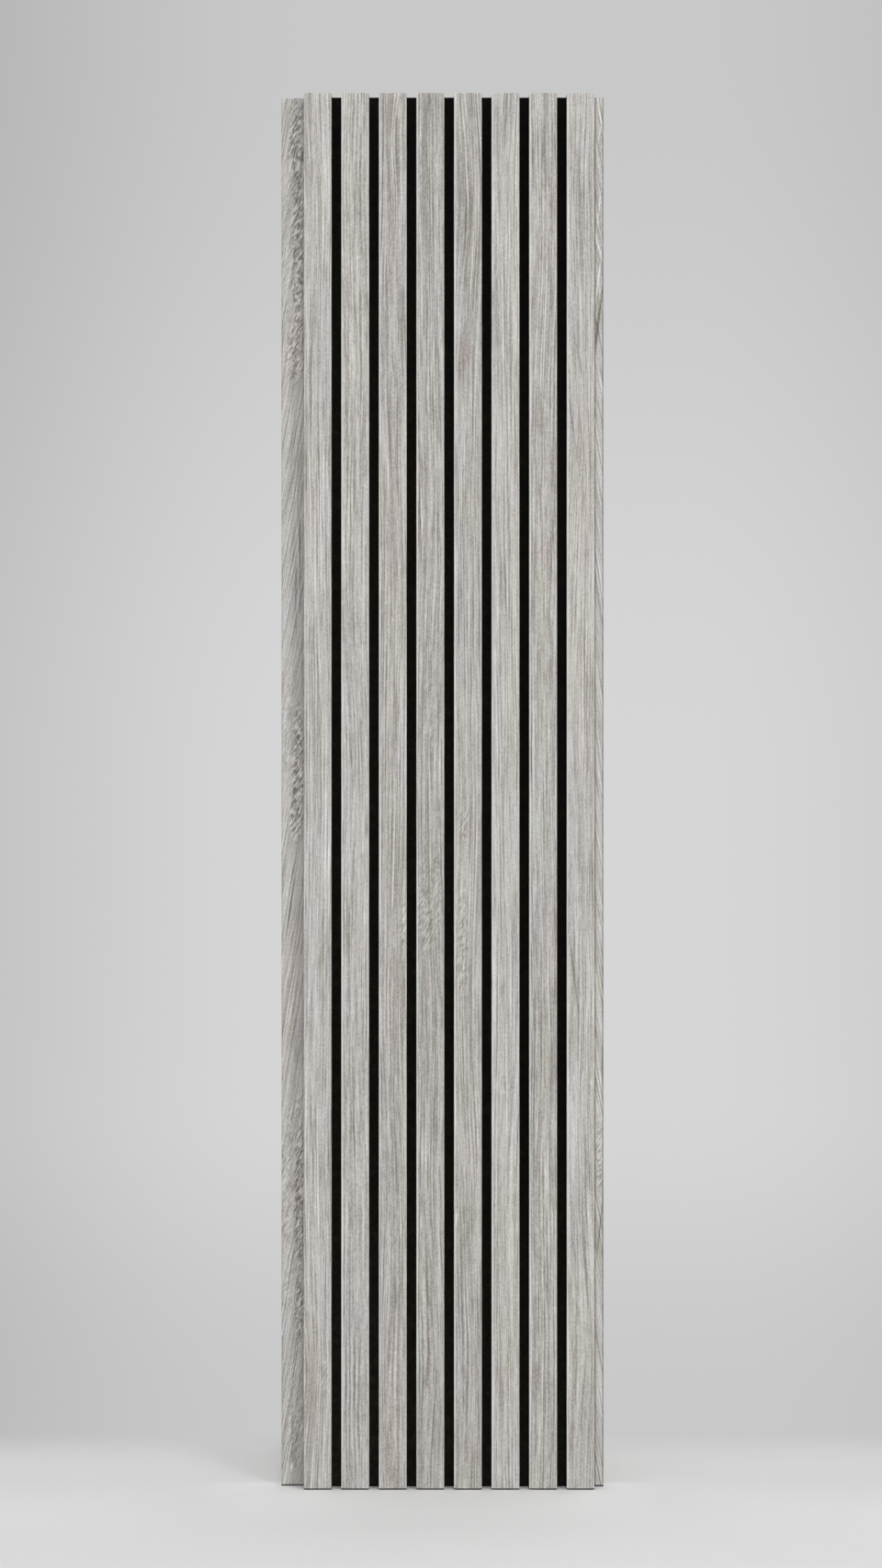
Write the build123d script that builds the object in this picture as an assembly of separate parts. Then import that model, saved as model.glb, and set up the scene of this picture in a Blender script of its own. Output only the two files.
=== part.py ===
from build123d import *
import os

# Slatted wall panel: eight upright slats glued side by side on a carrier board, with a black
# felt let into the board's face so that it shows as the floor of the grooves between the slats.
# The board stands past the slats on both sides. On the left it is a tongue, which is fastened to
# the wall. On the right it is a thin lip as wide as one groove, rebated behind, which covers the
# next panel's tongue and carries the row of slats on without a break.
#
# X runs across the panel from tongue to lip, Z runs up it, and Y runs from the slats into the
# wall. The origin is the middle of the back face.

# Driving dimensions, in millimetres.
panel_length = 1300.0
slat_count = 8
slat_width = 26.0
slat_thickness = 12.0
slat_edge_radius = 1.5  # along the two long front edges, where the foil turns
slat_back_arris = 0.5  # along the two long back edges
slat_end_arris = 0.4  # round both sawn ends
groove_width = 9.0

board_thickness = 9.0
board_edge_radius = 0.8  # on the outer front edges of tongue and lip
tongue_width = 21.5
tongue_back_chamfer = 1.5  # leads the tongue past unevenness in the wall
lip_thickness = 2.0
lap_face_clearance = 0.2  # between a tongue's front and the lip over it
lap_nose_clearance = 0.5  # between a tongue's nose and the end of the rebate

felt_thickness = 1.5
felt_tuck = 8.0  # how far the felt runs on under the first and last slat

relief_count = 4  # shallow channels in the back, which take the adhesive
relief_width = 22.0
relief_depth = 1.2
relief_edge_margin = 26.0  # solid back left beside the tongue and beside the rebate

# Places that follow from them.
pitch = slat_width + groove_width
slat_field_width = slat_count * pitch - groove_width
lip_width = groove_width
panel_width = tongue_width + slat_field_width + lip_width
left_edge = -panel_width / 2
right_edge = panel_width / 2
first_slat_left = left_edge + tongue_width
last_slat_right = first_slat_left + slat_field_width

wall_plane = 0.0
face_plane = -board_thickness
front_plane = face_plane - slat_thickness
lip_back_plane = face_plane + lip_thickness
tongue_face_plane = lip_back_plane + lap_face_clearance
felt_back_plane = face_plane + felt_thickness

rebate_left = right_edge - tongue_width - lap_nose_clearance
felt_left = first_slat_left + slat_width - felt_tuck
felt_right = last_slat_right - slat_width + felt_tuck


def strip(x_low, x_high, y_low, y_high):
    """A rectangle of the panel's cross-section between two values of X and two of Y."""
    return Pos((x_low + x_high) / 2, (y_low + y_high) / 2) * Rectangle(x_high - x_low, y_high - y_low)


def corners_at(section, x, y):
    """The corners of a cross-section that lie at one point."""
    return [v for v in section.vertices() if abs(v.X - x) < 1e-6 and abs(v.Y - y) < 1e-6]


def full_length(section):
    """A cross-section run up the whole panel, half above and half below the origin."""
    return extrude(section, amount=panel_length / 2, dir=(0, 0, 1), both=True)


def relief_channels():
    """The shallow channels in the board's back, evenly spaced over its full-thickness part."""
    field_left = first_slat_left + relief_edge_margin
    field_right = rebate_left - relief_edge_margin
    step = (field_right - field_left - relief_width) / (relief_count - 1)
    channels = []
    for n in range(relief_count):
        left = field_left + n * step
        channels.append(strip(left, left + relief_width, wall_plane - relief_depth, wall_plane))
    return channels


def carrier_board():
    """The moulded board: tongue on the left, felt recess in the face, lip and rebate on the right."""
    section = strip(left_edge, right_edge, face_plane, wall_plane)
    section -= strip(left_edge, first_slat_left, face_plane, tongue_face_plane)
    section -= strip(rebate_left, right_edge, lip_back_plane, wall_plane)
    section -= strip(felt_left, felt_right, face_plane, felt_back_plane)
    for channel in relief_channels():
        section -= channel
    outer_front = corners_at(section, left_edge, tongue_face_plane) + corners_at(section, right_edge, face_plane)
    section = fillet(outer_front, board_edge_radius)
    section = chamfer(corners_at(section, left_edge, wall_plane), tongue_back_chamfer)
    return full_length(section)


def felt_backing():
    """The felt, flush with the board's face. The slats hold it down and the grooves show it."""
    return full_length(strip(felt_left, felt_right, face_plane, felt_back_plane))


def slat(n):
    """Slat n, counted from 0 at the tongue side: front edges rounded, back edges and ends eased."""
    left = first_slat_left + n * pitch
    right = left + slat_width
    section = strip(left, right, front_plane, face_plane)
    front = corners_at(section, left, front_plane) + corners_at(section, right, front_plane)
    section = fillet(front, slat_edge_radius)
    back = corners_at(section, left, face_plane) + corners_at(section, right, face_plane)
    section = chamfer(back, slat_back_arris)
    bar = full_length(section)
    ends = bar.faces().sort_by(Axis.Z)
    return chamfer(ends[0].edges() + ends[-1].edges(), slat_end_arris)


parts = {"carrier_board": carrier_board(), "felt_backing": felt_backing()}
for n in range(slat_count):
    parts[f"slat_{n + 1}"] = slat(n)

os.makedirs("parts", exist_ok=True)
for name, shape in parts.items():
    export_step(shape, f"parts/{name}.step")
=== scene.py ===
import math
from collections import namedtuple

import bpy
import numpy as np
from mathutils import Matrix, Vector


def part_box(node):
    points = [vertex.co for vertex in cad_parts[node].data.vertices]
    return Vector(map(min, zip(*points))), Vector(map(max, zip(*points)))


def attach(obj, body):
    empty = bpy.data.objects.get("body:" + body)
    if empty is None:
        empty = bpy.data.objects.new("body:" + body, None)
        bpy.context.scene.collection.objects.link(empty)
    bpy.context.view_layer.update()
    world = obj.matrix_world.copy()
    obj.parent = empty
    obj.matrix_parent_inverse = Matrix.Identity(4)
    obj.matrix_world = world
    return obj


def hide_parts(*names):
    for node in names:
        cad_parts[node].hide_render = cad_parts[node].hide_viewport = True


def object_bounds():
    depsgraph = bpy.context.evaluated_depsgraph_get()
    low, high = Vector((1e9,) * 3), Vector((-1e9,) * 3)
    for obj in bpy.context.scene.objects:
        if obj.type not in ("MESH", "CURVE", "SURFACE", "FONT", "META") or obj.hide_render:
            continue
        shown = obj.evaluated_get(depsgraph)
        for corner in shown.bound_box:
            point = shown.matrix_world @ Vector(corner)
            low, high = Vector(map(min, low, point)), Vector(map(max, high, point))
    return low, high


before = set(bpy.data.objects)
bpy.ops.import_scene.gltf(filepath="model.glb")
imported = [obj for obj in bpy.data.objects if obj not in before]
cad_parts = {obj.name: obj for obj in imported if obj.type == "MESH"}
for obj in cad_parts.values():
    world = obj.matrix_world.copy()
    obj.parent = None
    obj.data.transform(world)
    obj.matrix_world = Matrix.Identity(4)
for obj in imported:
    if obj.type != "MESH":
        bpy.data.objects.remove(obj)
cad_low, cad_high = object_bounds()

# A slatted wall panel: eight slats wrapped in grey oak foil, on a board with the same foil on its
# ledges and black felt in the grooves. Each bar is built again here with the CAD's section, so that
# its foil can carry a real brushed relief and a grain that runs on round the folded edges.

MM = 0.001
SLAT_COUNT = sum(name.startswith("slat_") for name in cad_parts)

# The section's small forms, as in the CAD.
SLAT_EDGE_RADIUS = 1.5 * MM
SLAT_BACK_ARRIS = 0.5 * MM
SLAT_END_ARRIS = 0.4 * MM

# The mesh: how finely the faces that show are divided, across and along.
ARC_STEPS = 6
FACE_STEP = 0.5 * MM
SIDE_STEP = 2.0 * MM
HIDDEN_STEP = 30.0 * MM
ROW_STEP = 2.6 * MM
FELT_STEP = 1.5 * MM
FELT_ROW_STEP = 5.0 * MM

# Edges that turn by more than this many degrees are shaded sharp.
SHARP_ANGLE = 38

# Points nearer than this to a face or corner count as on it.
HAIR = 0.1 * MM

# The brushed relief of the foil, engraved below the CAD's face, and the felt's.
RELIEF_DEPTH = 0.06 * MM
FELT_RELIEF = 0.25 * MM

# Painted highlight: how much paler the foil is made where it folds round an edge, left and right.
FOLD_HIGHLIGHT_LEFT = 0.85
FOLD_HIGHLIGHT_RIGHT = 0.1

# Painted shade darkens the foil this far up from the foot, where it meets the floor.
FOOT_SHADE_HEIGHT = 1.7 * MM


# Smooth noise in numpy, the same on every run.

LATTICE = 512


def smooth_noise(x, y, seed):
    """Value noise from -1 to 1, one lattice point per unit."""
    table = np.random.default_rng(seed).random((LATTICE, LATTICE))
    column = np.floor(x).astype(int)
    row = np.floor(y).astype(int)
    across = x - column
    along = y - row
    across = across * across * (3 - 2 * across)
    along = along * along * (3 - 2 * along)

    def corner(i, j):
        return table[(column + i) % LATTICE, (row + j) % LATTICE]

    low = corner(0, 0) * (1 - across) + corner(1, 0) * across
    high = corner(0, 1) * (1 - across) + corner(1, 1) * across
    return 2 * (low * (1 - along) + high * along) - 1


def layered_noise(x, y, seed, layers):
    """Smooth noise with finer, weaker layers added, still about -1 to 1."""
    total = 0
    weight = 1.0
    reach = 0.0
    for n in range(layers):
        total = total + weight * smooth_noise(x * 2 ** n, y * 2 ** n, seed + n)
        reach += weight
        weight *= 0.55
    return total / reach


# Sections, as closed lists of (x, y) points that go anticlockwise seen from +Z.

def arc_points(centre, radius, start, end):
    """Points along a quarter round, from one angle to the other, in degrees."""
    angles = np.radians(np.linspace(start, end, ARC_STEPS + 1))
    return [(centre[0] + radius * math.cos(a), centre[1] + radius * math.sin(a)) for a in angles]


def slat_section(low, high):
    """The slat's section from its left back edge: rounded front edges, small flats on the back ones."""
    r = SLAT_EDGE_RADIUS
    c = SLAT_BACK_ARRIS
    front_left = arc_points((low.x + r, low.y + r), r, 180, 270)
    front_right = arc_points((high.x - r, low.y + r), r, 270, 360)
    back = [(high.x, high.y - c), (high.x - c, high.y), (low.x + c, high.y)]
    return [(low.x, high.y - c)] + front_left + front_right + back


def started_at(points, first):
    """The same closed section, started at another of its points."""
    return points[first:] + points[:first]


def cad_section(node):
    """The section of a straight CAD bar, read from the ends of the facets that run its whole length."""
    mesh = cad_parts[node].data
    mesh.calc_loop_triangles()
    low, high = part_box(node)
    middle = (low.z + high.z) / 2
    following = {}

    def key(v):
        return round(v.x / MM, 3), round(v.y / MM, 3)

    for triangle in mesh.loop_triangles:
        corners = [mesh.vertices[i].co for i in triangle.vertices]
        foot = [n for n in range(3) if corners[n].z < middle]
        if len(foot) != 2:
            continue
        first, second = foot if foot != [0, 2] else [2, 0]
        following[key(corners[first])] = key(corners[second])
    start = min(following)
    points = [start]
    while following[points[-1]] != start:
        points.append(following[points[-1]])
    points = [(x * MM, y * MM) for x, y in points]
    area = sum(a[0] * b[1] - b[0] * a[1] for a, b in zip(points, points[1:] + points[:1]))
    return points if area > 0 else points[::-1]


def with_points_at(points, x):
    """The section with a point added wherever a side crosses this x."""
    out = []
    for a, b in zip(points, points[1:] + points[:1]):
        out.append(a)
        if min(a[0], b[0]) + 1e-6 < x < max(a[0], b[0]) - 1e-6:
            out.append((x, a[1] + (b[1] - a[1]) * (x - a[0]) / (b[0] - a[0])))
    return out


def divided(points, step_of):
    """The section with each side divided into steps no longer than step_of(middle, normal) says."""
    out = []
    for a, b in zip(points, points[1:] + points[:1]):
        run = np.subtract(b, a)
        length = float(np.hypot(*run))
        normal = (run[1] / length, -run[0] / length)
        step = step_of(((a[0] + b[0]) / 2, (a[1] + b[1]) / 2), normal)
        count = max(1, math.ceil(length / step - 1e-6))
        for n in range(count):
            out.append((a[0] + run[0] * n / count, a[1] + run[1] * n / count))
    return out


# Bars.

def rows_between(low, high, step, arris):
    """Heights of the rows of points, with one close to each end where there is an arris."""
    count = math.ceil((high - low - 2 * arris) / step)
    rows = np.linspace(low + arris, high - arris, count + 1)
    if arris:
        rows = np.concatenate([[low], rows, [high]])
    return rows


def section_normals(points):
    """The outward normal at each point of a section."""
    ring = np.array(points)
    ahead = np.roll(ring, -1, axis=0) - ring
    behind = ring - np.roll(ring, 1, axis=0)
    ahead /= np.linalg.norm(ahead, axis=1)[:, None]
    behind /= np.linalg.norm(behind, axis=1)[:, None]
    run = ahead + behind
    run /= np.linalg.norm(run, axis=1)[:, None]
    return np.stack([run[:, 1], -run[:, 0]], axis=1)


def distance_across(points):
    """Distance round a section, counted so that it is the distance from the left side on the front face."""
    ring = np.array(points)
    steps = np.linalg.norm(np.roll(ring, -1, axis=0) - ring, axis=1)
    across = np.concatenate([[0], np.cumsum(steps)[:-1]])
    face = int(np.argmax(section_normals(points)[:, 1] < -0.99))
    return across - across[face] + ring[face, 0] - ring[:, 0].min()


def bar_mesh(name, points, rows, depth, arris, slot_of, end_slot=1):
    """A closed bar: the section swept through the rows, with depth(across, z) engraved along its normals.

    slot_of gives the material slot of the strip that starts at a point of the section. An arris
    insets the first and last row.
    """
    ring = np.array(points)
    normals = section_normals(points)
    across = distance_across(points)
    columns = len(points)
    sunk = depth(across[None, :], rows[:, None])
    if arris:
        sunk = sunk.copy()
        sunk[0] += arris
        sunk[-1] += arris
    co = np.empty((len(rows), columns, 3))
    co[:, :, 0] = ring[None, :, 0] - normals[None, :, 0] * sunk
    co[:, :, 1] = ring[None, :, 1] - normals[None, :, 1] * sunk
    co[:, :, 2] = rows[:, None]

    row, column = np.meshgrid(np.arange(len(rows) - 1), np.arange(columns), indexing="ij")
    beside = (column + 1) % columns
    quads = np.stack([
        row * columns + column,
        row * columns + beside,
        (row + 1) * columns + beside,
        (row + 1) * columns + column,
    ], axis=-1).reshape(-1, 4)
    foot = np.arange(columns)[::-1]
    head = np.arange(columns) + (len(rows) - 1) * columns
    corners = np.concatenate([quads.ravel(), foot, head])
    starts = np.concatenate([np.arange(len(quads)) * 4, [len(quads) * 4, len(quads) * 4 + columns]])

    mesh = bpy.data.meshes.new(name)
    mesh.vertices.add(co.size // 3)
    mesh.vertices.foreach_set("co", co.ravel())
    mesh.loops.add(len(corners))
    mesh.loops.foreach_set("vertex_index", corners)
    mesh.polygons.add(len(starts))
    mesh.polygons.foreach_set("loop_start", starts)
    strips = np.tile([slot_of(n) for n in range(columns)], len(rows) - 1)
    mesh.polygons.foreach_set("material_index", np.concatenate([strips, [end_slot, end_slot]]))
    mesh.update(calc_edges=True)
    mesh.polygons.foreach_set("use_smooth", np.ones(len(starts), bool))
    mesh.set_sharp_from_angle(angle=math.radians(SHARP_ANGLE))
    return mesh


def set_point_values(mesh, name, kind, values):
    """Stores one value or vector per point, for the materials to read."""
    layer = mesh.attributes.new(name, kind, "POINT")
    field = "vector" if kind == "FLOAT_VECTOR" else "value"
    layer.data.foreach_set(field, np.ascontiguousarray(values, np.float32).ravel())


def add_piece(mesh, materials, replaced):
    """Puts a finished mesh in the scene, in place of its CAD node."""
    piece = bpy.data.objects.new(mesh.name, mesh)
    bpy.context.scene.collection.objects.link(piece)
    for material in materials:
        mesh.materials.append(material)
    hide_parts(replaced)
    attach(piece, "root")
    return piece


# The grain's course. Lines of grain are where "course" is constant. It is the distance from the
# tree's heart line, which runs nearly upright beside the bar, bent by gentle waves, arched round the
# eyes and crumpled in the wild patches. Places are in mm: across from the face's left edge, and up
# from the bar's middle, with the half width and half height of what lies there.

Feature = namedtuple("Feature", "kind x z half_width half_height lean strength warmth")

LINE_HALF_WIDTH = 0.6

# Waves as (height, width across, length along), in mm.
GENTLE_WAVES = ((1.0, 14, 95), (0.3, 5, 34), (0.07, 2, 11))
CRUMPLES = ((1.5, 9, 15), (0.7, 3, 5))


def wild(x, z, half_width, half_height, strength=1.0):
    """A patch where the grain is short and crumpled."""
    return Feature("wild", x, z, half_width, half_height, 0.0, strength, 0.0)


def eye(x, z, half_width, half_height, lift):
    """A place the grain arches round by lift mm, as in a flat-sawn board."""
    return Feature("eye", x, z, half_width, half_height, 0.0, lift, 0.0)


def mark(x, z, half_width, half_height, light=0.0, warm=0.0, lean=0.0):
    """A lighter or warmer place, or a darker or cooler one below 0, that leans right going up."""
    return Feature("mark", x, z, half_width, half_height, lean, light, warm)


def line(x, z, half_height, light, lean=0.0):
    """A single dark or light line of the grain."""
    return mark(x, z, LINE_HALF_WIDTH, half_height, light, 0.0, lean)


class Grain:
    """One bar's grain: its tone, where the heart lies, how much it waves and leans, its features.

    Its fold setting is how much the foil's folds are paled, as a painted highlight.
    """

    def __init__(self, seed, tone=0.0, heart=(60, 30), waves=1.0, lean=0.0, fold_highlight_amount=1.0, features=()):
        self.seed = seed
        self.tone = tone
        self.heart = heart
        self.waves = waves
        self.lean = lean
        self.fold_highlight_amount = fold_highlight_amount
        self.features = features

    def reach_of(self, feature, across, z):
        """How far each point is from the feature's middle: 0 there, 1 at its half width or half height."""
        up = z - feature.z * MM
        sideways = across - feature.x * MM - feature.lean * up
        return (sideways / (feature.half_width * MM)) ** 2 + (up / (feature.half_height * MM)) ** 2

    def features_of(self, kind, across, z):
        """Each feature of one kind, with its reach."""
        for feature in self.features:
            if feature.kind == kind:
                yield feature, self.reach_of(feature, across, z)

    def inside(self, reach, across, z):
        """1 within a feature, fading to 0 at its ragged edge."""
        ragged = 0.45 * layered_noise(across / (4 * MM), z / (14 * MM), self.seed + 70, 3)
        return np.clip(1.25 - reach + ragged, 0, 1)

    def wildness(self, across, z):
        """0 where the grain is calm, about 1 in the wild patches."""
        total = 0 * across + 0 * z
        for feature, reach in self.features_of("wild", across, z):
            total = np.maximum(total, feature.strength * self.inside(reach, across, z))
        return total

    def light_and_warmth(self, across, z):
        """How much lighter and how much warmer the marks make the foil."""
        light = 0 * across + 0 * z
        warmth = 0 * across + 0 * z
        for feature, reach in self.features_of("mark", across, z):
            inside = self.inside(reach, across, z)
            light = light + feature.strength * inside
            warmth = warmth + feature.warmth * inside
        return light, warmth

    def bends(self, waves, across, z, first_seed):
        """The sum of the waves, in mm."""
        total = 0
        for n, (height, width, length) in enumerate(waves):
            seed = self.seed + first_seed + n
            total = total + height * smooth_noise(across / (width * MM), z / (length * MM), seed)
        return total

    def course(self, across, z):
        """Distance from the heart, in metres, bent and crumpled."""
        beside, behind = self.heart
        drift = 3 * MM * smooth_noise(z / (260 * MM), 0 * across, self.seed + 1)
        sideways = across - beside * MM + drift
        deep = behind * MM * (1 + 0.25 * smooth_noise(z / (190 * MM), 0 * across, self.seed + 2))
        out = np.sqrt(sideways ** 2 + deep ** 2) + math.copysign(self.lean, beside) * z
        bend = 0.6 * self.waves * self.bends(GENTLE_WAVES, across, z, 3)
        bend = bend + self.wildness(across, z) * self.bends(CRUMPLES, across, z, 6)
        for feature, reach in self.features_of("eye", across, z):
            bend = bend + feature.strength * np.exp(-reach)
        return out + MM * bend

    def relief(self, across, z):
        """The brushed surface's height, from 0 in the pores to 1 on the ridges."""
        course = self.course(across, z)
        lines = smooth_noise(course / (1.1 * MM), z / (42 * MM), self.seed + 8)
        lines = lines + 0.5 * smooth_noise(course / (1.0 * MM), z / (15 * MM), self.seed + 9)
        return np.clip(0.5 + 0.5 * lines, 0, 1)


def dress_bar(mesh, grain, points, rows):
    """Stores the grain on a bar's points: its course, relief, marks and wild patches, and a painted
    highlight at the folds.
    """
    normals = section_normals(points)
    a, z = np.meshgrid(distance_across(points), rows)
    light, warmth = grain.light_and_warmth(a, z)
    # A painted highlight on the rounded front edges, stronger on the left folds and varied a little along
    # them.
    fold_highlight = 2 * np.abs(normals[:, 0]) * np.clip(-normals[:, 1], 0, 1)
    fold_highlight = fold_highlight * np.where(normals[:, 0] < 0, FOLD_HIGHLIGHT_LEFT, FOLD_HIGHLIGHT_RIGHT)
    fold_highlight_amount = grain.fold_highlight_amount * (1 + 0.4 * smooth_noise(a / (9 * MM), z / (35 * MM), grain.seed + 12))
    marks = [light + fold_highlight_amount * fold_highlight, warmth, grain.wildness(a, z)]
    set_point_values(mesh, "grain", "FLOAT_VECTOR", np.stack([grain.course(a, z), z, a], axis=-1))
    set_point_values(mesh, "marks", "FLOAT_VECTOR", np.stack(marks, axis=-1))
    set_point_values(mesh, "relief", "FLOAT", grain.relief(a, z))


# Materials.

class Shader:
    """A material's node tree, with short calls for the nodes that are used often."""

    def __init__(self, name, roughness, specular):
        self.material = bpy.data.materials.new(name)
        self.material.use_nodes = True
        self.tree = self.material.node_tree
        self.surface = self.tree.nodes["Principled BSDF"]
        self.surface.inputs["Roughness"].default_value = roughness
        self.surface.inputs["Specular IOR Level"].default_value = specular

    def node(self, kind, **settings):
        made = self.tree.nodes.new(kind)
        for name, value in settings.items():
            setattr(made, name, value)
        return made

    def feed(self, socket, value):
        """Links an output to a socket, or sets the socket's value."""
        if isinstance(value, bpy.types.NodeSocket):
            self.tree.links.new(value, socket)
        else:
            socket.default_value = value

    def math(self, operation, *values, clamp=False):
        made = self.node("ShaderNodeMath", operation=operation, use_clamp=clamp)
        for socket, value in zip(made.inputs, values):
            self.feed(socket, value)
        return made.outputs[0]

    def attribute(self, name, output):
        return self.node("ShaderNodeAttribute", attribute_name=name).outputs[output]

    def split(self, vector):
        made = self.node("ShaderNodeSeparateXYZ")
        self.feed(made.inputs[0], vector)
        return made.outputs

    def join(self, x, y, z):
        made = self.node("ShaderNodeCombineXYZ")
        for socket, value in zip(made.inputs, (x, y, z)):
            self.feed(socket, value)
        return made.outputs[0]

    def noise(self, vector, scale=1.0, detail=2.0, roughness=0.5, distortion=0.0):
        """Noise about 0, mostly from -0.25 to 0.25."""
        made = self.node("ShaderNodeTexNoise")
        self.feed(made.inputs["Vector"], vector)
        made.inputs["Scale"].default_value = scale
        made.inputs["Detail"].default_value = detail
        made.inputs["Roughness"].default_value = roughness
        made.inputs["Distortion"].default_value = distortion
        return self.math("SUBTRACT", made.outputs["Fac"], 0.5)

    def stretched(self, x, y, x_cells, y_cells, shift, detail=0, distortion=0.0):
        """Noise with so many cells a metre along x and along y."""
        place = self.join(self.math("MULTIPLY", x, x_cells), self.math("MULTIPLY", y, y_cells), shift)
        return self.noise(place, detail=detail, distortion=distortion)

    def ramp(self, value, *stops):
        """A colour ramp through (place, colour) stops."""
        made = self.node("ShaderNodeValToRGB")
        self.feed(made.inputs[0], value)
        while len(made.color_ramp.elements) < len(stops):
            made.color_ramp.elements.new(0.5)
        for element, (place, colour) in zip(made.color_ramp.elements, stops):
            element.position = place
            element.color = (*colour, 1)
        return made.outputs[0]

    def between(self, value, low, high, to_low=0.0, to_high=1.0):
        """Maps low..high smoothly to to_low..to_high."""
        made = self.node("ShaderNodeMapRange", interpolation_type="SMOOTHSTEP")
        for socket, v in zip(made.inputs, (value, low, high, to_low, to_high)):
            self.feed(socket, v)
        return made.outputs[0]

    def tint(self, colour, other, amount=1.0):
        """The colour multiplied by the other, as far as amount says."""
        made = self.node("ShaderNodeMix", data_type="RGBA", blend_type="MULTIPLY")
        self.feed(made.inputs["Factor"], amount)
        self.feed(made.inputs[6], colour)
        self.feed(made.inputs[7], other if isinstance(other, bpy.types.NodeSocket) else (*other, 1))
        return made.outputs[2]

    def bump(self, height, distance):
        made = self.node("ShaderNodeBump")
        made.inputs["Distance"].default_value = distance
        self.feed(made.inputs["Height"], height)
        self.feed(self.surface.inputs["Normal"], made.outputs[0])

    def weighted(self, *pairs):
        """The sum of weight times value over the (weight, value) pairs."""
        total = 0.0
        for weight, value in pairs:
            total = self.math("MULTIPLY_ADD", value, weight, total)
        return total

    def product(self, first, *others):
        for other in others:
            first = self.math("MULTIPLY", first, other)
        return first

    def scaled(self, colour, factor):
        """The colour times one factor."""
        return self.tint(colour, self.join(factor, factor, factor))

    def mixed(self, share, first, second):
        """Two surfaces mixed, with this share of the second."""
        made = self.node("ShaderNodeMixShader")
        for socket, value in zip(made.inputs, (share, first, second)):
            self.feed(socket, value)
        return made.outputs[0]

    def show(self, surface):
        self.feed(self.tree.nodes["Material Output"].inputs["Surface"], surface)


# One dark and one light line of the comb in every 2.7 mm of the grain's course.
COMB_TURNS = 2 * math.pi / (2.7 * MM)

# How far the strokes of a wild patch lean, and how much of its contrast the grain loses there.
STROKE_LEAN = 0.5
WILD_CALMING = 0.7

# The grain's contrast in the bar's middle, and how far from it, in metres, that rises to 1.
MIDDLE_CONTRAST = 0.9
MIDDLE_REACH = (0.1, 0.3)

FOIL_VALUE = 0.46
FOIL_ROUGHNESS = 0.62
FOIL_SHADES = (
    (0.0, (0.15, 0.137, 0.12)),
    (0.3, (0.30, 0.284, 0.262)),
    (0.5, (0.444, 0.430, 0.410)),
    (0.7, (0.57, 0.56, 0.542)),
    (1.0, (0.78, 0.775, 0.765)),
)
COOL = (0.986, 0.993, 0.994)
WARM = (1.015, 0.989, 0.968)
GREENISH = (0.995, 1.003, 0.985)
ROSY = (1.004, 0.997, 1.015)
# The tint of the painted shade at the foot.
FOOT_SHADE_TINT = (0.1, 0.095, 0.085)

# The foils' noises start this far apart for each step of the seed.
SEED_SPREAD = 1.37


def wild_strokes(s, across, along, seed):
    """Short slanting strokes and specks, from -0.5 to 0.5."""
    beside = s.math("MULTIPLY_ADD", along, -STROKE_LEAN, across)
    ahead = s.math("MULTIPLY_ADD", across, STROKE_LEAN, along)
    strokes = s.stretched(beside, ahead, 600, 95, seed + 31, detail=1, distortion=0.3)
    specks = s.stretched(beside, ahead, 760, 260, seed + 33)
    return s.between(s.weighted((1.0, strokes), (0.5, specks)), -0.2, 0.2, -0.5, 0.5)


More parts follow.
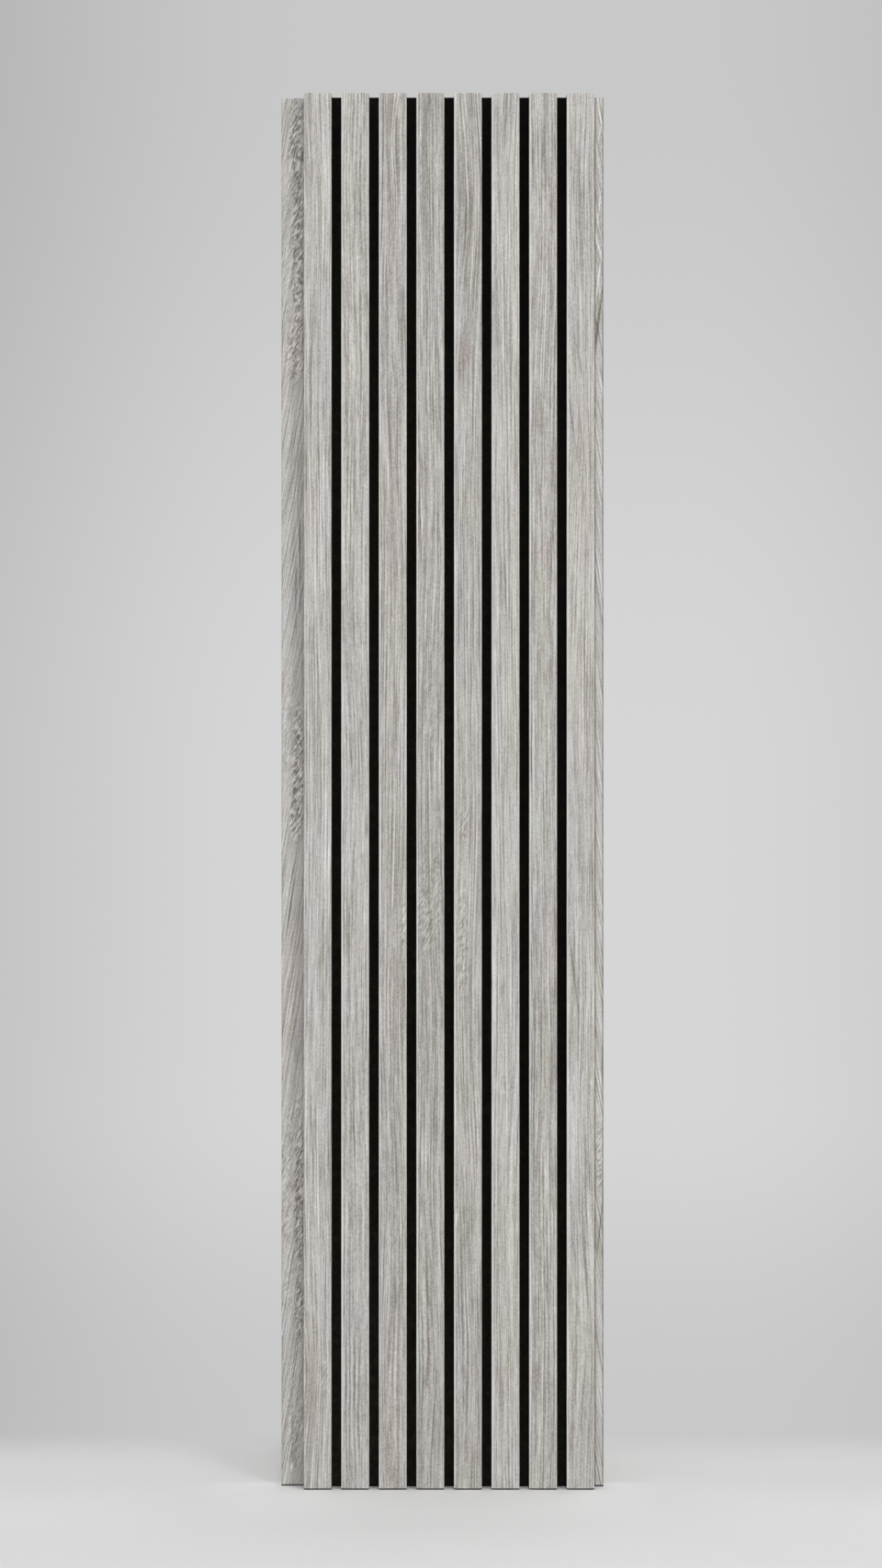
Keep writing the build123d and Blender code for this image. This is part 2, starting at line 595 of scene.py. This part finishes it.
def oak_foil(name, grain):
    """Grey oak foil: brushed lines, pores and flecks that follow the grain's course."""
    s = Shader(name, roughness=0.58, specular=0.35)
    seed = grain.seed * SEED_SPREAD
    course, along, across = s.split(s.attribute("grain", "Vector"))
    lighter, warmer, wildness = s.split(s.attribute("marks", "Vector"))
    relief = s.attribute("relief", "Fac")

    def following(course_cells, along_cells, shift, detail=0):
        """Noise drawn out along the grain."""
        return s.stretched(course, along, course_cells, along_cells, seed + shift, detail)

    bands = following(200, 2.5, 0.1, detail=2)
    lines = following(620, 8, 5.3)
    threads = following(820, 21, 9.7)
    dashes = following(760, 75, 11.3)
    grit = following(720, 430, 15.1)
    jitter = following(170, 6, 3.3, detail=1)
    comb = s.math("SINE", s.math("MULTIPLY_ADD", course, COMB_TURNS, s.math("MULTIPLY", jitter, 14)))
    comb = s.product(comb, s.between(following(150, 7, 7.9, detail=1), -0.2, 0.25))
    pores = s.between(following(800, 24, 13.1), 0.2, 0.32)
    flecks = s.between(following(900, 80, 17.9), 0.22, 0.34)
    streaks = s.between(following(260, 9, 21.7, detail=1), 0.14, 0.3)
    cloud = s.stretched(across, along, 40, 9, seed + 25, detail=2)
    crinkle = s.product(wild_strokes(s, across, along, seed), wildness)

    calm = s.math("MULTIPLY_ADD", wildness, -WILD_CALMING, 1.0)
    calm = s.product(calm, s.between(s.math("ABSOLUTE", along), *MIDDLE_REACH, MIDDLE_CONTRAST, 1.0))
    brushed = s.product(calm, s.weighted(
        (0.51, lines), (0.41, threads), (0.28, dashes), (0.3, grit), (0.16, comb),
        (-0.17, pores), (0.17, flecks),
    ))
    value = s.weighted(
        (0.15, s.product(bands, calm)), (1.0, brushed), (0.05, cloud), (0.78, crinkle),
        (-0.06, streaks), (0.06, relief), (1.0, lighter),
    )
    colour = s.ramp(s.math("ADD", value, FOIL_VALUE + grain.tone), *FOIL_SHADES)
    warm = s.between(s.math("ADD", following(85, 3.2, 37.1, detail=2), warmer), -0.16, 0.18)
    colour = s.tint(colour, s.ramp(warm, (0, COOL), (1, WARM)))
    rosy = s.between(following(60, 12, 41.7, detail=1), -0.18, 0.18)
    colour = s.tint(colour, s.ramp(rosy, (0, GREENISH), (1, ROSY)))
    # Painted shade along the foot, where the bar meets the floor.
    foot_shade = s.between(along, cad_low.z + 0.7 * FOOT_SHADE_HEIGHT, cad_low.z + FOOT_SHADE_HEIGHT, 1.0, 0.0)
    s.feed(s.surface.inputs["Base Color"], s.tint(colour, FOOT_SHADE_TINT, foot_shade))

    rough = s.weighted((0.3, lines), (0.3, pores), (-0.12, relief))
    s.feed(s.surface.inputs["Roughness"], s.math("ADD", rough, FOIL_ROUGHNESS, clamp=True))
    s.bump(s.weighted((1.4, brushed), (0.6, crinkle)), 0.13 * MM)
    return s.material


def fibreboard():
    """Raw fibreboard, where the panel was sawn or milled: brown, felted, with paler fibres."""
    s = Shader("fibreboard", roughness=0.85, specular=0.2)
    place = s.node("ShaderNodeTexCoord").outputs["Object"]
    grains = s.noise(place, scale=1400, detail=3, roughness=0.7)
    fibres = s.noise(place, scale=420, detail=2, distortion=1.5)
    cloud = s.noise(place, scale=35, detail=2)
    value = s.weighted((0.9, grains), (0.8, fibres), (0.4, cloud))
    colour = s.ramp(
        s.math("ADD", value, 0.5),
        (0.1, (0.13, 0.085, 0.05)), (0.5, (0.27, 0.19, 0.12)), (0.9, (0.42, 0.32, 0.22)),
    )
    s.feed(s.surface.inputs["Base Color"], colour)
    s.bump(s.weighted((1.0, grains), (0.6, fibres)), 0.15 * MM)
    return s.material


def black_edge():
    """The slats' sides, dyed black so that the grooves look deep: matt, with a faint fibre."""
    s = Shader("black_edge", roughness=0.8, specular=0.1)
    place = s.node("ShaderNodeTexCoord").outputs["Object"]
    fibres = s.noise(place, scale=900, detail=3, roughness=0.7)
    cloud = s.noise(place, scale=60, detail=2)
    colour = s.ramp(
        s.math("ADD", s.weighted((0.9, fibres), (0.5, cloud)), 0.5),
        (0.1, (0.002, 0.0018, 0.0015)), (0.6, (0.006, 0.0056, 0.005)), (0.95, (0.018, 0.017, 0.015)),
    )
    s.feed(s.surface.inputs["Base Color"], colour)
    s.bump(fibres, 0.1 * MM)
    return s.material


def backing_paper():
    """The plain paper that balances the foil, on the board's back: pale, with a faint fibre and scuffs."""
    s = Shader("backing_paper", roughness=0.7, specular=0.3)
    place = s.node("ShaderNodeTexCoord").outputs["Object"]
    mottle = s.noise(place, scale=60, detail=4, roughness=0.6)
    fibre = s.noise(place, scale=900, detail=3, roughness=0.7)
    x, y, z = s.split(place)
    drawn = s.noise(s.join(s.math("MULTIPLY", x, 300), y, s.math("MULTIPLY", z, 5)), detail=2)
    value = s.weighted((0.5, mottle), (0.5, fibre), (0.5, drawn))
    colour = s.ramp(
        s.math("ADD", value, 0.5),
        (0.1, (0.36, 0.33, 0.28)), (0.5, (0.47, 0.44, 0.385)), (0.9, (0.56, 0.53, 0.475)),
    )
    s.feed(s.surface.inputs["Base Color"], colour)
    s.bump(s.weighted((1.0, fibre), (0.6, mottle)), 0.06 * MM)
    return s.material


# How much paler or darker the felt is made: at its foot and its head against its middle, and at its
# left against its right.
FELT_TONE_FOOT = 1.8
FELT_TONE_FOOT_ENDS = -0.25
FELT_TONE_HEAD = 0.65
FELT_TONE_HEAD_STARTS = 0.3
FELT_TONE_LEFT = 1.2
FELT_TONE_RIGHT = 0.8
FELT_TONE_SIDES = (-0.12, 0.1)


def black_felt():
    """Needled black felt: matted fibres with a faint sheen, paler at its foot and left, darker at its head
    and right.
    """
    s = Shader("black_felt", roughness=0.95, specular=0.08)
    s.surface.inputs["Sheen Weight"].default_value = 0.06
    s.surface.inputs["Sheen Roughness"].default_value = 0.5
    place = s.node("ShaderNodeTexCoord").outputs["Object"]
    fibres = s.noise(place, scale=700, detail=4, roughness=0.7, distortion=2.5)
    clumps = s.noise(place, scale=160, detail=3)
    value = s.weighted((1.2, fibres), (0.8, clumps))
    colour = s.ramp(
        s.math("ADD", value, 0.5),
        (0.2, (0.003, 0.0023, 0.0014)), (0.6, (0.0078, 0.0064, 0.0043)), (0.95, (0.024, 0.0205, 0.015)),
    )
    x, y, z = s.split(place)
    felt_tone = s.product(
        s.between(z, cad_low.z, FELT_TONE_FOOT_ENDS, FELT_TONE_FOOT, 1.0),
        s.between(z, FELT_TONE_HEAD_STARTS, cad_high.z, 1.0, FELT_TONE_HEAD),
        s.between(x, *FELT_TONE_SIDES, FELT_TONE_LEFT, FELT_TONE_RIGHT),
    )
    s.feed(s.surface.inputs["Base Color"], s.scaled(colour, felt_tone))
    s.bump(s.weighted((1.0, fibres), (0.5, clumps)), 0.5 * MM)
    return s.material


# The pieces.

CORE = fibreboard()
BLACK_EDGE = black_edge()
PAPER = backing_paper()
FELT = black_felt()

# Each slat's own cut of the grain.
SLAT_GRAINS = [
    Grain(11, tone=0.02, heart=(75, 20), fold_highlight_amount=0.25, features=[
        mark(2.5, 610, 3, 45, 0, 0.12), mark(4, 355, 4, 32, -0.04, 0.12),
        line(16.3, -140, 30, -0.2, 0.04), eye(4, -545, 10, 60, 4), mark(6, -540, 6, 60, -0.05, 0.12),
        wild(20, -545, 4, 24, 0.4),
    ]),
    Grain(23, tone=0.0, heart=(-45, 25), features=[
        mark(10, 609, 2.5, 26, -0.07, 0.08), mark(17, 570, 7, 30, 0, 0.1),
        mark(23.5, 453, 2, 14, -0.15, 0.04), line(5.5, 395, 18, -0.2), line(8, 395, 18, 0.2),
        mark(2, 163, 1.5, 26, -0.12), mark(23.5, 168, 1.5, 22, -0.12),
        mark(24, -29, 1.5, 18, -0.16), mark(2, -40, 1.5, 14, -0.1),
        line(2.5, -125, 42, -0.24), line(5, -128, 45, -0.28), line(7.4, -135, 38, -0.22),
        mark(2, -344, 1.6, 24, -0.14), line(12.5, -560, 65, -0.24),
    ]),
    Grain(37, tone=-0.055, heart=(-62, 24), waves=1.1, features=[
        mark(9, 632, 6, 22, -0.10, 0.2), eye(13, 615, 6, 50, 3.5), wild(18, 570, 7, 48, 0.15),
        line(23, 292, 66, 0.25), line(21, 112, 26, 0.25, 0.05), wild(23, -125, 2.5, 24, 0.7),
        eye(8, -560, 8, 80, 5),
    ]),
    Grain(41, tone=-0.075, heart=(58, 12), waves=1.1, features=[
        mark(14, 630, 12, 25, -0.07, -0.08), wild(4, 565, 4, 26, 0.25),
        mark(5, 290, 2.5, 26, -0.06), line(3.2, 266, 30, -0.32, -0.03), line(4.8, 262, 26, 0.25, -0.03),
        line(3, 240, 16, -0.25, 0.05), line(5, 243, 14, 0.22, 0.05), wild(12, 60, 9, 60, 0.2),
        wild(11, -112, 12, 52, 0.4), wild(19, -95, 7, 45, 0.35), mark(13, -105, 13, 55, -0.01, 0.12),
        mark(12, -126, 0.8, 28, -0.14, 0, 0.38), mark(18, -290, 5, 40, -0.05, 0.04),
        line(3, -390, 22, -0.28, -0.03), mark(4.2, -402, 0.9, 8, 0.35), eye(16, -520, 9, 90, 5),
    ]),
    Grain(59, tone=-0.05, heart=(88, 30), waves=1.1, features=[
        mark(13, 0, 16, 230, 0, -0.045),
        mark(12, 545, 10, 80, -0.05, 0.16), eye(14, 520, 7, 75, 2.5), line(17, 545, 40, -0.2, 0.06),
        line(11, 520, 50, -0.18, 0.03), mark(8, 405, 7, 32, -0.07, 0.16), line(5, 400, 28, -0.24),
        line(9, 395, 24, -0.2, 0.04), mark(14, 305, 8, 28, 0.03, -0.2), wild(9, -30, 6, 18, 0.5),
        wild(8, -140, 6, 70, 0.35), mark(20, -45, 2, 10, 0, 0.3), mark(7, -412, 4, 28, -0.08, 0.08),
        mark(2.2, -397, 0.9, 9, 0.35), eye(13, -560, 16, 85, 6),
    ]),
    Grain(67, tone=0.015, heart=(-60, 18), features=[
        mark(13, 20, 16, 260, 0, -0.045),
        mark(12, 628, 8, 22, -0.07, -0.1), line(6, 387, 17, -0.18), line(12.5, -108, 12, -0.3),
        line(9, -330, 20, 0.2, 0.05),
    ]),
    Grain(71, tone=-0.05, heart=(-75, 22), features=[
        mark(13, 0, 16, 220, 0, -0.03),
        mark(13, 590, 7, 52, -0.06, 0.04), mark(11, 510, 6, 25, -0.04, 0.2), line(11.5, 382, 14, 0.25),
        mark(18, -110, 8, 110, 0, 0.1), line(8, -320, 24, -0.2, 0.06), line(7, -318, 22, 0.2, 0.06),
        mark(12, -475, 6, 30, -0.06),
    ]),
    Grain(83, tone=0.0, heart=(80, 14), features=[
        mark(13, 0, 16, 230, 0, -0.045),
        mark(13, 523, 6, 42, -0.05, 0.04), eye(4, 350, 12, 110, 9), line(11, 405, 24, -0.22, -0.2),
        line(5, 345, 40, -0.2, -0.15), line(14, 330, 36, -0.18, -0.12), line(16.5, 100, 85, -0.18),
        line(19, 80, 70, -0.16), line(7.5, -175, 50, -0.28, -0.12), line(5.5, -165, 40, -0.2, -0.12),
        eye(19, -520, 8, 75, 4),
    ]),
]


def make_slat(number, grain):
    """One slat: foil on its front and round the front edges, black sides, a raw back and sawn ends."""
    name = f"slat_{number}"
    low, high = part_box(name)

    def step_of(middle, normal):
        if normal[1] > 0.5:
            return HIDDEN_STEP
        return FACE_STEP if normal[1] < -0.9 else SIDE_STEP

    points = divided(slat_section(low, high), step_of)
    normals = section_normals(points)
    rows = rows_between(low.z, high.z, ROW_STEP, SLAT_END_ARRIS)
    foiled = np.clip(1 - 1.5 * np.clip(normals[:, 1], 0, 1), 0, 1)

    def depth(across, z):
        return RELIEF_DEPTH * (1 - grain.relief(across, z)) * foiled[None, :]

    def slot_of(n):
        middle_y = (points[n][1] + points[(n + 1) % len(points)][1]) / 2
        if middle_y < low.y + SLAT_EDGE_RADIUS:
            return 0
        return 1 if middle_y > high.y - SLAT_BACK_ARRIS / 2 else 2

    mesh = bar_mesh(f"oak_slat_{number}", points, rows, depth, SLAT_END_ARRIS, slot_of)
    dress_bar(mesh, grain, points, rows)
    foil = oak_foil(f"oak_foil_{number}", grain)
    add_piece(mesh, [foil, CORE, BLACK_EDGE], name)


for number, grain in enumerate(SLAT_GRAINS, 1):
    make_slat(number, grain)


# Sides of the board this near its left edge have foil.
NOSE_FOIL = 3 * MM


def make_board():
    """The carrier board: foil on its ledges and outer edges, paper on its back, raw where it is milled."""
    low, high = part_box("carrier_board")
    first_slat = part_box("slat_1")[0]
    last_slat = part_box(f"slat_{SLAT_COUNT}")[1]
    section = with_points_at(cad_section("carrier_board"), last_slat.x)
    back_plane = max(y for x, y in section)
    back_corner = min(range(len(section)), key=lambda n: (back_plane - section[n][1] > 1e-6, section[n][0]))
    section = started_at(section, back_corner)

    def shows(x):
        return not first_slat.x < x < last_slat.x

    def step_of(middle, normal):
        if normal[1] < -0.5 and shows(middle[0]):
            return FACE_STEP
        return SIDE_STEP if shows(middle[0]) else HIDDEN_STEP

    points = divided(section, step_of)
    normals = section_normals(points)
    rows = rows_between(low.z, high.z, ROW_STEP, 0)
    clear_of_slats = [not first_slat.x - HAIR <= x <= last_slat.x + HAIR for x, y in points]
    engraved = np.where((normals[:, 1] < -0.3) & clear_of_slats, 1.0, 0.0)

    def depth(across, z):
        return RELIEF_DEPTH * (1 - BOARD_GRAIN.relief(across, z)) * engraved[None, :]

    def slot_of(n):
        a, b = points[n], points[(n + 1) % len(points)]
        run = np.subtract(b, a)
        out_y = -run[0] / np.hypot(*run)
        if out_y < -0.5:
            return 0 if shows((a[0] + b[0]) / 2) else 1
        if out_y > 0.5:
            return 2 if min(a[1], b[1]) > back_plane - HAIR else 1
        return 0 if a[0] < low.x + NOSE_FOIL or a[0] > high.x - HAIR else 1

    mesh = bar_mesh("oak_board", points, rows, depth, 0, slot_of)
    dress_bar(mesh, BOARD_GRAIN, points, rows)
    foil = oak_foil("oak_foil_board", BOARD_GRAIN)
    add_piece(mesh, [foil, CORE, PAPER], "carrier_board")


# On the board, places are counted round the face's steps, so the right ledge starts at RIGHT_LEDGE.
RIGHT_LEDGE = 297.7

# The half height of a mark that runs the bar's whole height.
WHOLE_BAR = 3000
BOARD_GRAIN = Grain(97, heart=(95, 22), waves=1.4, lean=0.17, fold_highlight_amount=0.0, features=[
    wild(16, 500, 7, 95), wild(15, 605, 9, 60), wild(5, 500, 5, 100, 0.3),
    mark(16, 530, 7, 105, -0.03, 0.2), mark(8, 632, 5, 12, -0.08, 0.3),
    line(9, 610, 22, -0.3, 0.22), line(11.5, 600, 30, 0.2, 0.22), line(13.5, 605, 25, -0.35, 0.18),
    line(6, 560, 30, -0.22, 0.25), line(17, 575, 30, -0.3, 0.1), line(19, 560, 35, 0.2, 0.05),
    wild(12, 410, 9, 32, 0.8), mark(12, 410, 9, 40, -0.02, 0.1),
    line(15.5, 290, 60, -0.25), line(18, 300, 70, -0.25), mark(17, 237, 0.9, 22, -0.5),
    line(13.5, 180, 45, -0.28), mark(17.5, 190, 0.8, 40, -0.32), wild(7, 60, 8, 65, 0.35),
    wild(16, 30, 7, 55, 1.1), mark(16, 30, 6, 50, -0.09, 0.08), wild(14, -22, 7, 26),
    mark(15, -22, 6, 24, -0.07, 0.08), mark(7.7, -113, 0.7, 46, -0.4, 0, 0.13),
    mark(16, -135, 4, 40, -0.07, 0.05), wild(16, -375, 6, 88), mark(16.5, -375, 5, 80, -0.10, 0.25),
    wild(6, -370, 6, 85, 0.5), wild(17, -485, 5, 45), wild(13, -580, 9, 55, 0.4),
    wild(6, -470, 5, 40, 0.4), mark(17, -485, 5, 45, -0.08, 0.15), line(10, -590, 40, -0.25),
    mark(9.5, -632, 1, 4, 0.5), mark(12, -627, 7, 11, -0.09),
    # The second mark is painted shade on the board's rounded left edge.
    mark(4, 0, 6, WHOLE_BAR, 0.04), mark(0.5, 0, 0.9, WHOLE_BAR, -0.06),
    # Painted light that lifts part of slat 1's shadow on the left ledge.
    mark(17, 320, 6, 130, 0.07), mark(17, -120, 6, 200, 0.07),
    # The first mark is painted shade in the corner beside the last slat.
    mark(RIGHT_LEDGE + 1.1, 0, 0.8, WHOLE_BAR, -0.4), mark(RIGHT_LEDGE + 5.5, 0, 4, WHOLE_BAR, 0.1),
    # The first mark is painted shade on the board's rounded right edge.
    mark(RIGHT_LEDGE + 8.9, 0, 1.1, WHOLE_BAR, -0.5), mark(RIGHT_LEDGE + 5, 625, 3, 25, -0.05, 0.3),
    wild(RIGHT_LEDGE + 5, 540, 4, 90, 0.25),
    line(RIGHT_LEDGE + 5.8, 633, 8, 0.34, -0.24), line(RIGHT_LEDGE + 5, 614, 13, 0.34, 0.22),
    line(RIGHT_LEDGE + 4.6, 584, 19, 0.34, -0.13), line(RIGHT_LEDGE + 4.6, 542, 25, 0.34, 0.1),
    mark(RIGHT_LEDGE + 4.6, 510, 1, 14, 0.55, 0, -0.25), mark(RIGHT_LEDGE + 4.2, 479, 1, 24, 0.5, 0, 0.13),
    mark(RIGHT_LEDGE + 3.9, 437, 1.4, 50, -0.42, 0.1, 0.125), mark(RIGHT_LEDGE + 4.5, 530, 4, 90, -0.07),
    mark(RIGHT_LEDGE + 8, -265, 1, 24, -0.25), wild(RIGHT_LEDGE + 5, -340, 4, 40, 0.6),
    mark(RIGHT_LEDGE + 6, -405, 0.9, 35, -0.35, 0, 0.1), mark(RIGHT_LEDGE + 5, -570, 4, 60, 0.07),
])
make_board()


def make_felt():
    """The felt, let into the board's face, uneven where the grooves show it."""
    low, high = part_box("felt_backing")
    section = [(low.x, low.y), (high.x, low.y), (high.x, high.y), (low.x, high.y)]

    def step_of(middle, normal):
        return FELT_STEP if normal[1] < -0.5 else HIDDEN_STEP

    points = divided(section, step_of)
    face = np.array([p[1] < low.y + 1e-6 and low.x < p[0] < high.x for p in points])
    rows = rows_between(low.z, high.z, FELT_ROW_STEP, 0)

    def depth(across, z):
        lumps = layered_noise(across / (4 * MM), z / (9 * MM), 301, 2)
        return FELT_RELIEF * (0.5 - 0.5 * lumps) * face[None, :]

    mesh = bar_mesh("felt_sheet", points, rows, depth, 0, lambda n: 0, end_slot=0)
    felt = add_piece(mesh, [FELT], "felt_backing")


make_felt()


# The studio: a pale floor that curves up into a wall, seen from its front only, and soft lamps.

FLOOR_Z = cad_low.z
FLOOR_HALF = 7.0
COVE_START = 0.002
COVE_RADIUS = 0.60
COVE_STEPS = 40
WALL_TOP = 3.0
WALL_HALF_WIDTH = 3.5

# The cove's first edge lies this far behind its start, and this far above the floor.
COVE_EDGE = 0.001
COVE_LIFT = 0.0005

# Pale grey paint, with painted shade that makes it a little darker towards the wall and to the right.
PAINT_DARK = (0.824, 0.824, 0.824)
PAINT_LIGHT = (0.844, 0.844, 0.844)
PAINTED_SHADE_BY_WALL = 0.9
PAINTED_SHADE_BY_WALL_FROM_TO = (-0.13, 0.05)
PAINTED_SHADE_RIGHT = 0.935
PAINTED_SHADE_RIGHT_FROM_TO = (0.05, 0.6)

# Painted light before the panel's foot makes the floor paler there, lifting the panel's shadow.
PAINTED_LIGHT_BEFORE_FOOT = 1.17
PAINTED_LIGHT_NEARING = (-0.15, -0.01)
PAINTED_LIGHT_LEFT = (-0.25, -0.12)
PAINTED_LIGHT_RIGHT = (0.12, 0.22)

# Far from the panel the floor fades into this shade, which is also the world's.
WORLD_SHADE = (0.624, 0.624, 0.624)
FLOOR_FADES_FROM = 0.9
FLOOR_FADED_AT = 2.2

# The glow the camera sees on the wall, a painted pool of light that dims towards its sides, top and
# foot, and how high above the floor it has taken over from the lit paint.
WALL_GLOW_TONE = (0.671, 0.671, 0.671)
WALL_BRIGHT_LEFT = -0.15
WALL_EDGE_LEFT = -0.75
WALL_DIM_LEFT = 0.76
WALL_BRIGHT_RIGHT = 0.3
WALL_EDGE_RIGHT = 0.75
WALL_DIM_RIGHT = 0.88
WALL_BRIGHT_TOP = 0.05
WALL_EDGE_TOP = 0.95
WALL_DIM_TOP = 0.86
WALL_BRIGHT_FOOT = -0.33
WALL_DIM_FOOT = 0.86
WALL_TAKES_OVER = 0.016


def stage_shader(name):
    """Matt pale grey paint with painted shade towards the wall and to the right, and the place on it as x, y
    and z.
    """
    s = Shader(name, roughness=0.9, specular=0.1)
    place = s.node("ShaderNodeTexCoord").outputs["Object"]
    mottle = s.noise(place, scale=3.0, detail=2)
    colour = s.ramp(s.math("ADD", mottle, 0.5), (0.0, PAINT_DARK), (1.0, PAINT_LIGHT))
    x, y, z = s.split(place)
    shade_by_wall = s.between(y, *PAINTED_SHADE_BY_WALL_FROM_TO, 1.0, PAINTED_SHADE_BY_WALL)
    shade_to_right = s.between(x, *PAINTED_SHADE_RIGHT_FROM_TO, 1.0, PAINTED_SHADE_RIGHT)
    return s, s.scaled(colour, s.product(shade_by_wall, shade_to_right)), (x, y, z)


def with_glow(s, shade, strength, share):
    """The painted surface, with this share of it replaced by a glow where the camera sees it."""
    seen = s.node("ShaderNodeLightPath").outputs["Is Camera Ray"]
    glow = s.node("ShaderNodeEmission")
    glow.inputs["Color"].default_value = (*shade, 1)
    s.feed(glow.inputs["Strength"], strength)
    return s.mixed(s.product(share, seen), s.surface.outputs[0], glow.outputs[0])


def floor_paint():
    """The floor: painted light before the panel's foot, and fading into the world's shade far away."""
    s, colour, (x, y, z) = stage_shader("floor_paint")
    lit_before_foot = s.product(
        s.between(y, *PAINTED_LIGHT_NEARING), s.between(x, *PAINTED_LIGHT_LEFT), s.between(x, *PAINTED_LIGHT_RIGHT, 1.0, 0.0)
    )
    paler = s.math("MULTIPLY_ADD", lit_before_foot, PAINTED_LIGHT_BEFORE_FOOT - 1, 1.0)
    s.feed(s.surface.inputs["Base Color"], s.scaled(colour, paler))
    away = s.math("SQRT", s.math("MULTIPLY_ADD", x, x, s.product(y, y)))
    s.show(with_glow(s, WORLD_SHADE, 1.0, s.between(away, FLOOR_FADES_FROM, FLOOR_FADED_AT)))
    return s.material


def wall_paint():
    """The wall: lit paint by the floor, a glowing painted pool of light above, and nothing when seen from
    behind.
    """
    s, colour, (x, y, z) = stage_shader("wall_paint")
    s.feed(s.surface.inputs["Base Color"], colour)
    strength = s.product(
        s.between(x, WALL_EDGE_LEFT, WALL_BRIGHT_LEFT, WALL_DIM_LEFT, 1.0),
        s.between(x, WALL_BRIGHT_RIGHT, WALL_EDGE_RIGHT, 1.0, WALL_DIM_RIGHT),
        s.between(z, WALL_BRIGHT_TOP, WALL_EDGE_TOP, 1.0, WALL_DIM_TOP),
        s.between(z, FLOOR_Z, WALL_BRIGHT_FOOT, WALL_DIM_FOOT, 1.0),
    )
    risen = s.between(z, FLOOR_Z + COVE_LIFT, FLOOR_Z + WALL_TAKES_OVER)
    front = with_glow(s, WALL_GLOW_TONE, strength, risen)
    behind = s.node("ShaderNodeNewGeometry").outputs["Backfacing"]
    s.show(s.mixed(behind, front, s.node("ShaderNodeBsdfTransparent").outputs[0]))
    return s.material


def add_to_stage(mesh, material):
    mesh.materials.append(material)
    thing = bpy.data.objects.new(mesh.name, mesh)
    bpy.context.scene.collection.objects.link(thing)


def make_floor():
    mesh = bpy.data.meshes.new("studio_floor")
    corners = [(x * FLOOR_HALF, y * FLOOR_HALF, FLOOR_Z) for x, y in ((-1, -1), (1, -1), (1, 1), (-1, 1))]
    mesh.from_pydata(corners, [], [(0, 1, 2, 3)])
    add_to_stage(mesh, floor_paint())


def make_wall():
    """The wall behind the panel, with a quarter round up from the floor."""
    profile = [(COVE_START + COVE_EDGE, FLOOR_Z + COVE_LIFT)]
    for n in range(1, COVE_STEPS + 1):
        turn = math.radians(90 * n / COVE_STEPS)
        y = COVE_START + COVE_RADIUS * math.sin(turn)
        z = FLOOR_Z + COVE_RADIUS * (1 - math.cos(turn))
        profile.append((y, z))
    profile.append((COVE_START + COVE_RADIUS, WALL_TOP))
    mesh = bpy.data.meshes.new("studio_wall")
    verts = [(side * WALL_HALF_WIDTH, y, z) for y, z in profile for side in (-1, 1)]
    faces = [(2 * n, 2 * n + 1, 2 * n + 3, 2 * n + 2) for n in range(len(profile) - 1)]
    mesh.from_pydata(verts, [], faces)
    mesh.polygons.foreach_set("use_smooth", np.ones(len(faces), bool))
    add_to_stage(mesh, wall_paint())


make_floor()
make_wall()


def make_lamp(name, place, aim, width, height, watts):
    """A soft box: a rectangle of light at place, turned to face aim."""
    light = bpy.data.lights.new(name, "AREA")
    light.shape = "RECTANGLE"
    light.size = width
    light.size_y = height
    light.energy = watts
    lamp = bpy.data.objects.new(name, light)
    lamp.location = place
    lamp.rotation_euler = (Vector(aim) - Vector(place)).to_track_quat("-Z", "Y").to_euler()
    bpy.context.scene.collection.objects.link(lamp)


make_lamp("front_box", place=(0.25, -3.6, 0.5), aim=(0, 0, 0), width=1.0, height=2.2, watts=47.5)
make_lamp("key_box", place=(2.3, -2.6, 0.7), aim=(0, 0, 0), width=1.0, height=2.2, watts=36)
make_lamp("top_box", place=(0, -0.25, 2.9), aim=(0, -0.25, 0), width=2.4, height=1.6, watts=37)

WORLD_LIGHT = 0.30


def make_world():
    """Even light from all round, and a plain grey where the camera sees past the stage."""
    world = bpy.data.worlds.new("studio")
    bpy.context.scene.world = world
    world.use_nodes = True
    tree = world.node_tree
    background = tree.nodes["Background"]
    background.inputs["Color"].default_value = (1, 1, 1, 1)
    background.inputs["Strength"].default_value = WORLD_LIGHT
    seen = tree.nodes.new("ShaderNodeBackground")
    seen.inputs["Color"].default_value = (*WORLD_SHADE, 1)
    choose = tree.nodes.new("ShaderNodeMixShader")
    ray = tree.nodes.new("ShaderNodeLightPath")
    tree.links.new(ray.outputs["Is Camera Ray"], choose.inputs[0])
    tree.links.new(background.outputs[0], choose.inputs[1])
    tree.links.new(seen.outputs[0], choose.inputs[2])
    tree.links.new(choose.outputs[0], tree.nodes["World Output"].inputs["Surface"])


make_world()

# The camera: level, a normal lens, with the horizon below the frame's middle.
CAMERA_DISTANCE = 2.0265
CAMERA_X = -1.3 * MM
CAMERA_Z = -0.1018
LENS = 50.0
LONG_SIDE = 36.0
FRAME_HEIGHT_PX = 1706
HORIZON_PX = 980


def make_camera():
    """The lens is shifted so that the frame's upright edges and the panel's stay parallel."""
    data = bpy.data.cameras.new("camera")
    data.lens = LENS
    data.sensor_width = LONG_SIDE
    data.shift_y = (HORIZON_PX - FRAME_HEIGHT_PX / 2) / FRAME_HEIGHT_PX
    data.clip_start = 0.05
    camera = bpy.data.objects.new("camera", data)
    camera.location = (CAMERA_X, cad_low.y - CAMERA_DISTANCE, CAMERA_Z)
    camera.rotation_euler = (math.radians(90), 0, 0)
    bpy.context.scene.collection.objects.link(camera)
    bpy.context.scene.camera = camera


make_camera()
bpy.context.scene.view_settings.view_transform = "Standard"
